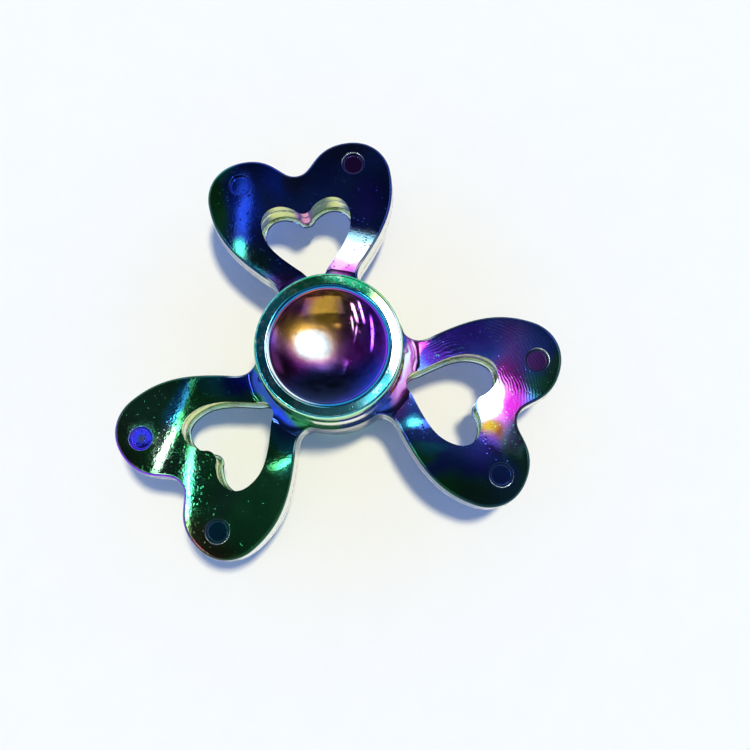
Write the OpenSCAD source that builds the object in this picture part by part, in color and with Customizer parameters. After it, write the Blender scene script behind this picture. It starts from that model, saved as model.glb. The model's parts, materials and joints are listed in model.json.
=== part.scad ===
// Three-armed finger spinner: heart-shaped arms round a ball-bearing hub, held between two finger caps.
// The spin axis is Z, and the origin is the centre of the bearing.

/* [Overall] */
// Height from the rim of the lower cap to the rim of the upper cap
total_h = 17.8; // [17:0.1:20]
// Thickness of the heart-shaped arms
arm_t = 5.8; // [5:0.1:6.4]

/* [Heart-shaped arms] */
// Distance from the spin axis to the notch between a heart's lobes
notch_x = 27.45; // [27:0.05:28]
// Farthest reach of the lobes along the arm
lobe_x = 31.15; // [30.5:0.05:32]
// Half the width across the lobes
lobe_y = 13.65; // [13.2:0.05:14.2]
// Half the width of the neck beside the hub
neck_y = 5.85; // [5.5:0.05:6.1]

/* [Heart-shaped openings] */
// Distance from the spin axis to the tip of the opening
open_tip_x = 10.85; // [10.8:0.05:11.4]
// Farthest reach of the opening along the arm
open_lobe_x = 23.6; // [23:0.05:24]
// Half the width of the opening
open_lobe_y = 7.05; // [6.6:0.05:7.4]
// Distance from the spin axis to the point between the opening's lobes
open_notch_x = 21.8; // [21.4:0.05:22.2]

/* [Dimples] */
// Diameter of the round blind dimples, one in each lobe of both faces
dimple_d = 3.2; // [2:0.1:4]
// Depth of the dimples
dimple_depth = 0.5; // [0.2:0.1:1]
// Distance of the dimples from the spin axis, along the arm
dimple_x = 27.5; // [27:0.1:28]
// Distance of the dimples from the arm's centre line
dimple_y = 8.4; // [8:0.1:9]

/* [Hub] */
// Radius of the hub between two arms
hub_r = 10.7; // [10.6:0.05:11]
// Radius of the raised collar where it meets the arms
collar_base_r = 10.3; // [10.2:0.05:10.5]
// Radius of the raised collar at its top
collar_top_r = 10.05; // [9.8:0.05:10.1]
// Height of the collar above the arms
collar_h = 2.8; // [2.4:0.1:2.9]
// Radius of the hollow that blends the collar into each arm
root_r = 2.1; // [1.5:0.1:2.3]

/* [Finger caps] */
// Diameter of the finger caps
cap_d = 20; // [19:0.5:20]
// Width of the rim round the dished middle
rim_w = 2.1; // [1.8:0.1:2.6]
// Depth of the dish below the rim
dish_depth = 1.5; // [1:0.1:1.7]
// Gap between each cap and the collar
cap_gap = 0.25; // [0.15:0.05:0.35]

/* [Bearing] */
// Bore of the bearing
bearing_bore = 6.35; // [6.35:0.01:6.35]
// Outside diameter of the bearing
bearing_d = 12.7; // [12.7:0.1:12.7]
// Width of the bearing
bearing_w = 4.762; // [4.762:0.001:4.762]
// Diameter of each ball
ball_d = 1.5875; // [1.5875:0.0001:1.5875]
// Diameter of the circle through the ball centres
pitch_d = 9.525; // [9.525:0.001:9.525]

/* [Hidden] */

$fn = 96;
arm_count = 3;
first_arm = 90;                          // direction of the first arm, in degrees from +X
ball_count = 10;
curve_steps = 9;                         // straight pieces in each Bezier stretch of an outline
overlap = 0.01;                          // how far a cut runs past the face that it opens
slip = 0.01;                             // gap between pieces that are pressed or screwed together

arm_z = arm_t / 2;                       // upper face of the arms
collar_z = arm_z + collar_h;             // top of the collar
top_z = total_h / 2;                     // rim of the upper cap
collar_edge = 0.25;                      // chamfer on the collar's rim

cap_r = cap_d / 2;
cap_t = top_z - collar_z - cap_gap;
cap_edge = 0.4;                          // chamfer on the outer edge of the cap's rim
under_edge = 0.2;                        // chamfer on the cap's underside
lip_w = 0.6;                             // the rim rounds over into the dish across this width
lip_drop = 0.4;                          // and falls by this much
boss_r = 3.9;                            // the boss presses on the bearing's inner ring
stud_r = 2.0;                            // outside radius of the M4 thread between the caps
stud_gap = 0.05;
stud_tip_z = 4.6;                        // top of the lower cap's stud
stud_hole_top = 5.2;

seat_r = bearing_d / 2 + slip;           // seat of the bearing in the hub
lip_r = 5.75;                            // opening below the seat, which leaves a lip under the bearing
bearing_z = bearing_w / 2;
pitch_r = pitch_d / 2;
ball_r = ball_d / 2;
groove_r = 0.82;                         // radius of the grooves that the balls run in
ball_gap = 0.01;                         // running clearance between the balls and the grooves
inner_shoulder_r = 4.2;
outer_shoulder_r = 5.32;
recess_r = 5.75;                         // recess in the outer ring for a shield and its snap ring
recess_depth = 0.53;
cage_r0 = 4.28;
cage_r1 = 5.24;
cage_h = 2.1;
pocket_gap = 0.05;
shield_r0 = 4.32;
shield_r1 = 5.73;
shield_t = 0.2;
snap_r0 = 5.4;
snap_r1 = 5.74;
snap_t = 0.22;
stack_gap = 0.02;                        // gap under the shield and under the snap ring

// A cubic Bezier stretch from a to d, without its last point, so that stretches can follow each other
function bezier(a, b, c, d) = [
    for (i = [0 : curve_steps - 1])
        let (t = i / curve_steps, s = 1 - t)
            s * s * s * a + 3 * s * s * t * b + 3 * s * t * t * c + t * t * t * d
];

// An arc about a point on the arm's centre line, in steps of 9 degrees, without its last point
function notch_arc(x, r, sweep) = [
    for (a = [0 : 9 : sweep - 9]) [x + r - r * cos(a), r * sin(a)]
];

// Mirrors half an outline over the arm's centre line and closes it
function both_sides(half) = concat(
    half,
    [for (i = [len(half) - 1 : -1 : 0]) if (half[i][1] > 0) [half[i][0], -half[i][1]]]
);

// Heart outline of one arm, from the notch round a lobe and along the neck into the hub
notch_r = 2.3;
notch_sweep = 36;
notch_end = [
    notch_x + notch_r - notch_r * cos(notch_sweep),
    notch_r * sin(notch_sweep)
];
notch_dir = [sin(notch_sweep), cos(notch_sweep)];
lobe = [lobe_x, 7.55];
crest = [25.4, lobe_y];
leg_end = [12.7, 7.4];
leg_dir = [cos(44), sin(44)];
neck = [9.95, neck_y];
web_angle = 37;                          // where the neck runs into the round hub
web = hub_r * [cos(web_angle), sin(web_angle)];
web_dir = [sin(web_angle), -cos(web_angle)];
arm_half = concat(
    notch_arc(notch_x, notch_r, notch_sweep),
    bezier(notch_end, notch_end + 1.65 * notch_dir, lobe - [0, 3.75], lobe),
    bezier(lobe, lobe + [0, 4.2], crest + [2.7, 0], crest),
    bezier(crest, crest - [4.8, 0], leg_end + 6.3 * leg_dir, leg_end),
    bezier(leg_end, leg_end - 0.3 * leg_dir, neck + [1.5, 0], neck),
    bezier(neck, neck - [0.7, 0], web + 0.5 * web_dir, web),
    [web, [0, 0]]
);

// Heart outline of one opening, from its tip near the hub round a lobe to the point between the lobes
tip_r = 2.3;
tip_sweep = 45;
tip_end = [
    open_tip_x + tip_r - tip_r * cos(tip_sweep),
    tip_r * sin(tip_sweep)
];
tip_dir = [sin(tip_sweep), cos(tip_sweep)];
open_crest = [20.2, open_lobe_y];
open_lobe = [open_lobe_x, 3.8];
point_r = 0.9;
point_sweep = 63;
point_end = [
    open_notch_x + point_r - point_r * cos(point_sweep),
    point_r * sin(point_sweep)
];
point_dir = [sin(point_sweep), cos(point_sweep)];
point_arc = notch_arc(open_notch_x, point_r, point_sweep);
open_half = concat(
    notch_arc(open_tip_x, tip_r, tip_sweep),
    bezier(tip_end, tip_end + 5.3 * tip_dir, open_crest - [3.1, 0], open_crest),
    bezier(open_crest, open_crest + [2.3, 0], open_lobe + [0, 1.7], open_lobe),
    bezier(open_lobe, open_lobe - [0, 1.5], point_end + 0.2 * point_dir, point_end),
    [point_end],
    [for (i = [len(point_arc) - 1 : -1 : 0]) point_arc[i]]
);

// Repeats its children at every arm
module at_arms() {
    for (k = [0 : arm_count - 1])
        rotate([0, 0, first_arm + k * 360 / arm_count]) children();
}

// Repeats its children, mirrored, for the lower half
module both_halves() {
    children();
    mirror([0, 0, 1]) children();
}

module arms_outline() {
    at_arms() polygon(both_sides(arm_half));
}

// Raised collar round the bearing, above and below the arms
module collar() {
    rotate_extrude()
        polygon([
            [0, -collar_z],
            [collar_top_r - collar_edge, -collar_z],
            [collar_top_r, collar_edge - collar_z],
            [collar_base_r, -arm_z],
            [collar_base_r, arm_z],
            [collar_top_r, collar_z - collar_edge],
            [collar_top_r - collar_edge, collar_z],
            [0, collar_z]
        ]);
}

// Hollow blend between the collar and the upper face of the arms
module root_blend() {
    inner = collar_top_r - collar_edge;
    outer = collar_base_r + root_r;
    intersection() {
        rotate_extrude()
            polygon(concat(
                [[inner, arm_z - 1], [outer, arm_z - 1]],
                [for (a = [0 : 10 : 90]) [outer - root_r * sin(a), arm_z + root_r - root_r * cos(a)]],
                [[inner, arm_z + root_r]]
            ));
        linear_extrude(height = collar_z) arms_outline();
    }
}

module spinner_body() {
    color("indigo")
        difference() {
            union() {
                linear_extrude(height = arm_t, center = true) arms_outline();
                cylinder(r = hub_r, h = arm_t, center = true);
                collar();
                both_halves() root_blend();
            }
            at_arms()
                linear_extrude(height = 2 * collar_z, center = true)
                    polygon(both_sides(open_half));
            both_halves()
                at_arms()
                    for (side = [-1, 1])
                        translate([dimple_x, side * dimple_y, arm_z - dimple_depth])
                            cylinder(d = dimple_d, h = dimple_depth + overlap);
            translate([0, 0, -bearing_z - slip])
                cylinder(r = seat_r, h = bearing_z + slip + collar_z + overlap);
            translate([0, 0, -collar_z - overlap])
                cylinder(r = lip_r, h = collar_z);
        }
}

// Face of a cap from its centre to its outer edge, measured down from the rim
dish_r = cap_r - rim_w;
dish_sag = dish_depth - lip_drop;
dish_sphere = (dish_r * dish_r + dish_sag * dish_sag) / (2 * dish_sag);
cap_face = concat(
    [for (i = [0 : 12])
        let (r = dish_r * i / 12)
            [r, -dish_depth + dish_sphere - sqrt(dish_sphere * dish_sphere - r * r)]],
    [for (a = [18 : 18 : 90]) [dish_r + lip_w * (1 - cos(a)), -lip_drop + lip_drop * sin(a)]],
    [[cap_r - cap_edge, 0], [cap_r, -cap_edge]]
);

// Flange, dish, boss and spigot of a cap, with its rim at Z = 0 and its boss pointing down
module cap_blank(spigot_len) {
    boss_len = top_z - bearing_z - slip;
    spigot_r = bearing_bore / 2 - slip;
    rotate_extrude()
        polygon(concat(
            cap_face,
            [
                [cap_r, under_edge - cap_t],
                [cap_r - under_edge, -cap_t],
                [boss_r, -cap_t],
                [boss_r, -boss_len],
                [spigot_r, -boss_len],
                [spigot_r, -boss_len - spigot_len],
                [0, -boss_len - spigot_len]
            ]
        ));
}

spigot_l = bearing_z - 0.1;              // each spigot stops just short of mid height

// Upper cap, with the threaded hole in its spigot
module top_finger_cap() {
    color("seagreen")
        difference() {
            translate([0, 0, top_z]) cap_blank(spigot_l);
            cylinder(r = stud_r + stud_gap, h = stud_hole_top);
        }
}

// Lower cap, with the threaded stud on its spigot
module bottom_finger_cap() {
    color("seagreen")
        union() {
            translate([0, 0, -top_z])
                mirror([0, 0, 1]) cap_blank(spigot_l);
            translate([0, 0, -1])
                cylinder(r = stud_r, h = stud_tip_z + 1);
        }
}

// Groove for the balls, as the torus that is cut from a ring; shift moves it off the pitch circle
module ball_groove(shift) {
    rotate_extrude()
        translate([pitch_r + shift, 0]) circle(r = groove_r);
}

groove_shift = groove_r - ball_r - ball_gap;

module bearing_outer_ring() {
    color("silver")
        difference() {
            cylinder(d = bearing_d, h = bearing_w, center = true);
            cylinder(r = outer_shoulder_r, h = bearing_w + 2 * overlap, center = true);
            both_halves()
                translate([0, 0, bearing_z - recess_depth])
                    cylinder(r = recess_r, h = recess_depth + overlap);
            ball_groove(-groove_shift);
        }
}

module bearing_inner_ring() {
    color("silver")
        difference() {
            cylinder(r = inner_shoulder_r, h = bearing_w, center = true);
            cylinder(d = bearing_bore, h = bearing_w + 2 * overlap, center = true);
            ball_groove(groove_shift);
        }
}

// Direction of one ball from the spin axis; balls are numbered from 1
function ball_angle(i) = (i - 1) * 360 / ball_count;

module ball(i) {
    color("gainsboro")
        rotate([0, 0, ball_angle(i)])
            translate([pitch_r, 0, 0]) sphere(r = ball_r);
}

// Ring that keeps the balls apart, drilled through for each of them
module ball_cage() {
    color("darkgoldenrod")
        difference() {
            cylinder(r = cage_r1, h = cage_h, center = true);
            cylinder(r = cage_r0, h = cage_h + 2 * overlap, center = true);
            for (i = [1 : ball_count])
                rotate([0, 90, ball_angle(i)])
                    cylinder(r = ball_r + pocket_gap, h = cage_r1 + 1);
        }
}

// Flat ring whose lower face is at the given height
module flat_ring(r0, r1, low, t) {
    translate([0, 0, low])
        difference() {
            cylinder(r = r1, h = t);
            translate([0, 0, -overlap]) cylinder(r = r0, h = t + 2 * overlap);
        }
}

shield_low = bearing_z - recess_depth + stack_gap;
snap_low = shield_low + shield_t + stack_gap;

module bearing_shield_top() {
    color("lightsteelblue")
        flat_ring(shield_r0, shield_r1, shield_low, shield_t);
}

module bearing_shield_bottom() {
    color("lightsteelblue")
        mirror([0, 0, 1]) flat_ring(shield_r0, shield_r1, shield_low, shield_t);
}

// Sprung wire ring, open at one side, that holds a shield in its recess
module snap_ring_shape() {
    mouth = 0.8;
    difference() {
        flat_ring(snap_r0, snap_r1, snap_low, snap_t);
        translate([0, -mouth / 2, snap_low - overlap])
            cube([recess_r + 1, mouth, snap_t + 2 * overlap]);
    }
}

module shield_snap_ring_top() {
    color("dimgray")
        snap_ring_shape();
}

module shield_snap_ring_bottom() {
    color("dimgray")
        mirror([0, 0, 1]) snap_ring_shape();
}

spinner_body();
top_finger_cap();
bottom_finger_cap();
bearing_outer_ring();
bearing_inner_ring();
ball_cage();
for (i = [1 : ball_count]) {
    ball_name = str("ball_", i < 10 ? "0" : "", i);
    ball(i);
}
bearing_shield_top();
bearing_shield_bottom();
shield_snap_ring_top();
shield_snap_ring_bottom();
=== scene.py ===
"""Looks of the heart-arm finger spinner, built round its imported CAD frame.

Shapes are worked out in millimetres in the CAD frame (origin at the bearing's centre, +Z up, one arm
along +Y) and written to meshes in metres.
"""

import json
import math

import bpy
import numpy as np
from mathutils import Matrix, Vector
from mathutils.geometry import delaunay_2d_cdt


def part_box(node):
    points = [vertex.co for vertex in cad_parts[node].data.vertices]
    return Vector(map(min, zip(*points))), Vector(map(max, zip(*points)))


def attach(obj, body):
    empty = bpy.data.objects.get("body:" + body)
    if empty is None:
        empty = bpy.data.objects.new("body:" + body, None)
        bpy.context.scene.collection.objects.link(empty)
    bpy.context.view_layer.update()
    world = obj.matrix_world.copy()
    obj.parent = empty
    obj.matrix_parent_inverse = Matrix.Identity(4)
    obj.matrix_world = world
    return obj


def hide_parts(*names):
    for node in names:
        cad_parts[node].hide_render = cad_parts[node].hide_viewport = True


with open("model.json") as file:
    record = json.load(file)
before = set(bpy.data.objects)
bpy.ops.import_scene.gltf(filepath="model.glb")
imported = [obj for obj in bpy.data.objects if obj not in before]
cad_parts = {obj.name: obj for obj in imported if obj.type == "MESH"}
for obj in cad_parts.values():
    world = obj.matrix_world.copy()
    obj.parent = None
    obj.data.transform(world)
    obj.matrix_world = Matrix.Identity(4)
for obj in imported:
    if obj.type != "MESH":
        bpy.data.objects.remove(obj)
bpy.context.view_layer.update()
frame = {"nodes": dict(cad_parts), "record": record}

MM = 0.001

# ---------------------------------------------------------------- sizes from the frame, in millimetres


def node_box(node):
    """Lowest and highest corner of a CAD node, in millimetres."""
    low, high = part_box(node)
    return [c / MM for c in low], [c / MM for c in high]


_, body_high = node_box("spinner_body")
_, cap_high = node_box("top_finger_cap")
_, ring_high = node_box("bearing_outer_ring")

TOP_Z = cap_high[2]
CAP_R = cap_high[0]
COLLAR_Z = body_high[2]
LOBE_X = body_high[1]
BEARING_R = ring_high[0]
BEARING_Z = ring_high[2]

# ---------------------------------------------------------------- sizes repeated from the part's source

ARM_Z = 2.9                  # upper face of the arms
ARM_ANGLES = (90, 210, 330)
HUB_R = 10.7
COLLAR_BASE_R = 10.28
COLLAR_TOP_R = 10.05
COLLAR_EDGE = 0.25
ROOT_R = 2.1                 # hollow between the collar and each arm
ROOT_OUTER_R = 12.4
NOTCH_X = 27.45
CREST_Y = 13.65
NECK_Y = 5.85
OPEN_TIP_X = 10.85
OPEN_LOBE_X = 23.6
OPEN_LOBE_Y = 7.05
OPEN_NOTCH_X = 21.8
DIMPLE_R = 1.6
DIMPLE_DEPTH = 0.5
DIMPLE_X = 27.5
DIMPLE_Y = 8.4
CAP_GAP = 0.25
RIM_W = 2.1
DISH_DEPTH = 1.5
LIP_DROP = 0.4
LIP_W = 0.6
BOSS_R = 3.9
SPIGOT_R = 3.165
STUD_R = 2.0
STUD_TIP_Z = 4.6
STUD_HOLE_TOP = 5.2
LEDGE_R = 5.75               # lip under the bearing's seat

# ---------------------------------------------------------------- outlines


def polar(radius, degrees):
    a = np.radians(degrees)
    return np.stack([radius * np.cos(a), radius * np.sin(a)], axis=-1)


def turned(points, degrees):
    a = math.radians(degrees)
    c, s = math.cos(a), math.sin(a)
    return np.asarray(points) @ np.array([[c, s], [-s, c]])


def bezier(a, b, c, d, steps=60):
    """Points along a cubic Bezier stretch, without its last point."""
    t = (np.arange(steps) / steps)[:, None]
    s = 1 - t
    a, b, c, d = (np.asarray(p, float) for p in (a, b, c, d))
    return s**3 * a + 3 * s * s * t * b + 3 * s * t * t * c + t**3 * d


def notch_arc(x, r, sweep, steps=24):
    """Arc about a point on the arm's centre line, from that line outwards, without its last point."""
    a = np.radians(sweep * np.arange(steps) / steps)
    return np.stack([x + r - r * np.cos(a), r * np.sin(a)], axis=1)


def arc_end(x, r, sweep):
    """Last point of such an arc, and its direction there."""
    a = math.radians(sweep)
    return np.array([x + r - r * math.cos(a), r * math.sin(a)]), np.array([math.sin(a), math.cos(a)])


def arm_half_outline():
    """One side of a heart-shaped arm, from the notch between its lobes round to the hub."""
    start, start_dir = arc_end(NOTCH_X, 2.3, 36)
    lobe = np.array([LOBE_X, 7.55])
    crest = np.array([25.4, CREST_Y])
    leg = np.array([12.7, 7.4])
    leg_dir = polar(1, 44)
    neck = np.array([9.95, NECK_Y])
    web = polar(HUB_R, 37)
    web_dir = polar(1, 37 - 90)
    return np.vstack([
        notch_arc(NOTCH_X, 2.3, 36),
        bezier(start, start + 1.65 * start_dir, lobe - [0, 3.75], lobe),
        bezier(lobe, lobe + [0, 4.2], crest + [2.7, 0], crest),
        bezier(crest, crest - [4.8, 0], leg + 6.3 * leg_dir, leg),
        bezier(leg, leg - 0.3 * leg_dir, neck + [1.5, 0], neck),
        bezier(neck, neck - [0.7, 0], web + 0.5 * web_dir, web),
        [web],
    ])


def open_half_outline():
    """One side of a heart-shaped opening, from its tip near the hub round to the point between its lobes."""
    tip, tip_dir = arc_end(OPEN_TIP_X, 2.3, 45)
    crest = np.array([20.2, OPEN_LOBE_Y])
    lobe = np.array([OPEN_LOBE_X, 3.8])
    point, point_dir = arc_end(OPEN_NOTCH_X, 0.9, 63)
    return np.vstack([
        notch_arc(OPEN_TIP_X, 2.3, 45),
        bezier(tip, tip + 5.3 * tip_dir, crest - [3.1, 0], crest),
        bezier(crest, crest + [2.3, 0], lobe + [0, 1.7], lobe),
        bezier(lobe, lobe - [0, 1.5], point + 0.2 * point_dir, point),
        [point],
        notch_arc(OPEN_NOTCH_X, 0.9, 63)[::-1],
    ])


def mirrored(half):
    return half[::-1] * [1, -1]


def evenly_spaced(points, step):
    """The closed line through the points, as points about a step apart."""
    closed = np.vstack([points, points[:1]])
    length = np.concatenate([[0], np.cumsum(np.hypot(*np.diff(closed, axis=0).T))])
    count = int(round(length[-1] / step))
    at = np.arange(count) * length[-1] / count
    return np.stack([np.interp(at, length, closed[:, i]) for i in (0, 1)], axis=1)


def outward(points, hole):
    """Directions out of the metal along a closed line that runs anticlockwise."""
    along = np.roll(points, -1, axis=0) - np.roll(points, 1, axis=0)
    out = np.stack([along[:, 1], -along[:, 0]], axis=1)
    out /= np.hypot(*out.T)[:, None]
    return -out if hole else out


def body_outlines():
    """[(points, outward directions)] of the whole outline and of the three openings."""
    loops = []
    half = arm_half_outline()
    whole = []
    for angle in ARM_ANGLES:
        whole.append(turned(mirrored(half)[:-1], angle))
        whole.append(turned(half, angle))
        whole.append(polar(HUB_R, angle + np.linspace(37, 83, 60)[1:-1]))
    outer = evenly_spaced(np.vstack(whole), 0.24)
    loops.append((outer, outward(outer, hole=False)))
    opening = open_half_outline()
    opening = np.vstack([opening, mirrored(opening)[1:-1]])
    for angle in ARM_ANGLES:
        points = evenly_spaced(turned(opening, angle), 0.2)
        loops.append((points, outward(points, hole=True)))
    return loops


# ---------------------------------------------------------------- upper face of the casting

CROWN = 0.002                # fall of the face towards its edges
CROWN_W = 1.5                # width of the band that falls
DRAFT = 0.14                 # how far each wall leans in between the parting line and its edge
EDGE_R = 0.42                # rounding of the arms' edges
HUB_EDGE_R = 0.2             # rounding where there is little metal beside the collar


def smooth(low, high, x):
    t = np.clip((x - low) / (high - low), 0, 1)
    return t * t * (3 - 2 * t)


def relief(points):
    """Height of the root blends and dimples over the flat of the arms."""
    x, y = points[:, 0], points[:, 1]
    r = np.hypot(x, y)
    turn = np.degrees(np.arctan2(y, x)) - ARM_ANGLES[0]
    off_arm = np.abs((turn + 60) % 120 - 60)
    reach = np.clip(ROOT_OUTER_R - r, 0, 0.93 * ROOT_R)
    root = ROOT_R - np.sqrt(ROOT_R**2 - reach**2)
    height = root * (1 - smooth(16, 38, off_arm))
    along = r * np.cos(np.radians(off_arm))
    across = r * np.sin(np.radians(off_arm))
    from_dimple = np.hypot(along - DIMPLE_X, across - DIMPLE_Y)
    height -= DIMPLE_DEPTH * (1 - smooth(DIMPLE_R - 0.28, DIMPLE_R + 0.1, from_dimple))
    return height


class Face:
    """The upper face as a height over the plane, with the direction that it faces."""

    def __init__(self, loops):
        self.rim = np.vstack([points for points, _ in loops])
        self.out = np.vstack([out for _, out in loops])

    def edge_distance(self, points):
        """Distance from the nearest edge, and the direction away from it."""
        depth = np.empty(len(points))
        away = np.empty((len(points), 2))
        for start in range(0, len(points), 500):
            part = points[start:start + 500]
            gap = part[:, None, :] - self.rim[None, :, :]
            nearest = (gap**2).sum(2).argmin(1)
            out = self.out[nearest]
            depth[start:start + 500] = -(gap[np.arange(len(part)), nearest] * out).sum(1)
            away[start:start + 500] = -out
        return depth, away

    def at(self, points):
        """Height and upward direction at each point."""
        depth, away = self.edge_distance(points)
        rest = np.clip(1 - depth / CROWN_W, 0, 1)
        height = ARM_Z - CROWN * rest**2 + relief(points)
        slope = (2 * CROWN / CROWN_W) * rest[:, None] * away
        eps = 0.01
        for axis in (0, 1):
            step = np.zeros(2)
            step[axis] = eps
            slope[:, axis] += (relief(points + step) - relief(points - step)) / (2 * eps)
        up = np.column_stack([-slope, np.ones(len(points))])
        return height, up / np.linalg.norm(up, axis=1)[:, None]


# ---------------------------------------------------------------- mesh building

AROUND_HUB = 240             # vertices round the collar and the bore
ROOT_RINGS = (10.36, 10.5, 10.7, 10.95, 11.25, 11.6, 12.0, 12.4, 12.6)
DIMPLE_RINGS = (0.45, 0.85, 1.12, 1.22, 1.29, 1.36, 1.43, 1.5, 1.57, 1.64, 1.72, 1.95)


class Builder:
    """Collects vertices with their normals, and faces."""

    def __init__(self):
        self.places = []
        self.normals = []
        self.faces = []

    def add(self, places, normals):
        """Adds vertices and returns their numbers."""
        first = len(self.places)
        self.places.extend(map(tuple, places))
        self.normals.extend(map(tuple, normals))
        return list(range(first, len(self.places)))

    def strip(self, low, high):
        """Faces between two closed rings of as many vertices."""
        count = len(low)
        for i in range(count):
            j = (i + 1) % count
            self.faces.append((low[i], low[j], high[j], high[i]))

    def fan(self, ring, tip, up):
        count = len(ring)
        for i in range(count):
            j = (i + 1) % count
            self.faces.append((ring[i], ring[j], tip) if up else (ring[j], ring[i], tip))

    def mesh(self, name):
        data = bpy.data.meshes.new(name)
        data.from_pydata([[c * MM for c in p] for p in self.places], [], self.faces)
        data.validate(clean_customdata=False)
        data.update()
        data.polygons.foreach_set("use_smooth", [True] * len(data.polygons))
        data.normals_split_custom_set_from_vertices([Vector(n).normalized() for n in self.normals])
        made = bpy.data.objects.new(name, data)
        bpy.context.scene.collection.objects.link(made)
        return made


def with_z(points, z):
    return np.column_stack([points, np.broadcast_to(z, len(points))])


def wall_rings(face, points, out):
    """Rings of a wall from the parting line at mid height up over the rounded edge on to the face."""
    r = np.hypot(*points.T)
    edge_r = HUB_EDGE_R + (EDGE_R - HUB_EDGE_R) * smooth(10.8, 12.6, r)
    draft = DRAFT * (0.5 + 0.5 * smooth(10.8, 12.6, r))
    rings = []
    flash = 0.035
    for inset, z in ((0, 0), (0.3 * flash, 0.04), (0.8 * flash, 0.08), (flash, 0.13)):
        normal = with_z(out, 0.0 if inset == 0 else 0.25)
        rings.append((with_z(points - inset * out, z), normal))
    for part in (0.12, 0.5, 0.9, 1.0):
        inset = flash + (draft - flash) * part
        low_z = 0.13
        here = points - (draft + edge_r)[:, None] * out
        top, _ = face.at(here)
        z = low_z + (top - edge_r - low_z) * part
        rings.append((with_z(points - inset[:, None] * out, z), with_z(out, 0.03)))
    inner = points - (draft + edge_r)[:, None] * out
    top, up = face.at(inner)
    for angle in (12, 25, 38, 52, 65, 78, 90):
        c, s = math.cos(math.radians(angle)), math.sin(math.radians(angle))
        inset = draft + edge_r * (1 - c)
        place = with_z(points - inset[:, None] * out, top - edge_r * (1 - s))
        rings.append((place, c * with_z(out, 0.0) + s * up))
    return rings


def inside(points, loop):
    """Which points lie within a closed line."""
    x, y = points[:, 0][:, None], points[:, 1][:, None]
    x0, y0 = loop[:, 0][None, :], loop[:, 1][None, :]
    x1, y1 = np.roll(loop[:, 0], -1)[None, :], np.roll(loop[:, 1], -1)[None, :]
    crosses = (y0 > y) != (y1 > y)
    with np.errstate(divide="ignore", invalid="ignore"):
        hit = x < (x1 - x0) * (y - y0) / (y1 - y0) + x0
    return (crosses & hit).sum(1) % 2 == 1


def ring_points(centre, radius, count):
    return np.asarray(centre) + polar(radius, np.arange(count) * 360 / count)


def dimple_centres():
    return [turned([DIMPLE_X, side * DIMPLE_Y], angle) for angle in ARM_ANGLES for side in (-1, 1)]


def on_metal(points, borders):
    """Which points lie on the face: inside its outer border and outside every hole in it."""
    keep = np.ones(len(points), bool)
    for start in range(0, len(points), 2000):
        part = points[start:start + 2000]
        here = inside(part, borders[0])
        for hole in borders[1:]:
            here &= ~inside(part, hole)
        keep[start:start + 2000] = here
    return keep


def fill_points(face, borders):
    """Points over the face: a close grid, with rings in the dimples and round the hub."""
    spacing = 0.55
    span = np.arange(-33, 33, spacing)
    x, y = np.meshgrid(span, span * math.sqrt(0.75))
    x = x + np.where(np.arange(len(span))[:, None] % 2 == 0, 0, spacing / 2)
    grid = np.column_stack([x.ravel(), y.ravel()])
    r = np.hypot(*grid.T)
    grid = grid[r > ROOT_OUTER_R + 0.4]
    root = [ring_points((0, 0), radius, AROUND_HUB) for radius in ROOT_RINGS]
    points = np.vstack([grid] + root)
    depth, _ = face.edge_distance(points)
    near_hub = np.hypot(*points.T) < 12.7
    points = points[(depth > DRAFT + EDGE_R + 0.16) | (near_hub & (depth > 0.1))]
    points = points[on_metal(points, borders)]
    gaps = np.min([
        np.hypot(*(points[:, None] - border[None]).transpose(2, 0, 1)).min(1) for border in borders
    ], axis=0)
    points = points[gaps > 0.07]
    dimples = []
    for centre in dimple_centres():
        points = points[np.hypot(*(points - centre).T) > DIMPLE_R + 0.5]
        dimples.append([centre])
        for radius in DIMPLE_RINGS:
            dimples.append(ring_points(centre, radius, 20 if radius < 1 else 48))
    return np.vstack([points] + dimples)


def fill_face(build, face, borders, border_numbers):
    """Triangles over the upper face, between its borders."""
    extra = fill_points(face, borders)
    flat = np.vstack(borders + [extra])
    edges = []
    first = 0
    for border in borders:
        count = len(border)
        edges += [(first + i, first + (i + 1) % count) for i in range(count)]
        first += count
    height, up = face.at(extra)
    numbers = [n for ring in border_numbers for n in ring] + build.add(with_z(extra, height), up)
    places, _, faces, origins, _, _ = delaunay_2d_cdt([Vector(p) for p in flat], edges, [], 0, 1e-5)
    places = np.array([tuple(p) for p in places])
    triangles = np.array([tuple(f) for f in faces])
    keep = on_metal(places[triangles].mean(1), borders)
    for triangle in triangles[keep]:
        if all(origins[i] for i in triangle):
            build.faces.append(tuple(numbers[origins[i][0]] for i in triangle))


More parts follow.
